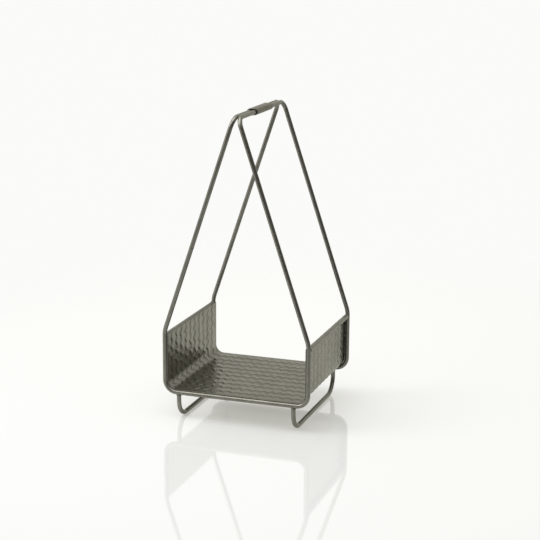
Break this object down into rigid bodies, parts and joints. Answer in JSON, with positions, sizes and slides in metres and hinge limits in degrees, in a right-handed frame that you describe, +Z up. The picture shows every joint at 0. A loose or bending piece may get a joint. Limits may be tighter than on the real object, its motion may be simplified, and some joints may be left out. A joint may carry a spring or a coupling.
{
  "type": "log carrier",
  "caption": "Free-standing log carrier of bent round steel bar: gable frames, looped feet, sleeved top handle and a hammered sheet tray with raised sides.",
  "frame": {"origin": "on the floor, at the centre of the footprint", "axes": "+Z up; +X across the tray from the left side to the right side; +Y from the front gable frame to the rear one"},
  "size_m": [0.3476, 0.3116, 0.6934],
  "materials": {
    "bar_steel": "dark grey lacquered steel, semi-gloss",
    "hammered_sheet": "hammered steel sheet, dark grey lacquer, semi-gloss",
    "sleeve_sheet": "rolled steel sheet, dark grey lacquer, faint lengthwise marks",
    "weld_metal": "weld beads under the same dark lacquer"
  },
  "bodies": {
    "root": {"front_frame": "bar_steel", "rear_frame": "bar_steel", "left_bail": "bar_steel", "right_bail": "bar_steel", "left_rim_rod": "bar_steel", "right_rim_rod": "bar_steel", "left_foot": "bar_steel", "right_foot": "bar_steel", "tray_sheet": "hammered_sheet", "handle_sleeve": "sleeve_sheet", "front_left_leg_weld": "weld_metal", "front_left_rim_weld": "weld_metal", "front_left_foot_weld": "weld_metal", "front_right_leg_weld": "weld_metal", "front_right_rim_weld": "weld_metal", "front_right_foot_weld": "weld_metal", "rear_left_leg_weld": "weld_metal", "rear_left_rim_weld": "weld_metal", "rear_left_foot_weld": "weld_metal", "rear_right_leg_weld": "weld_metal", "rear_right_rim_weld": "weld_metal", "rear_right_foot_weld": "weld_metal", "front_tray_stitches": "weld_metal", "rear_tray_stitches": "weld_metal", "left_rim_stitches": "weld_metal", "right_rim_stitches": "weld_metal", "sleeve_seam_weld": "weld_metal"}
  },
  "joints": []
}
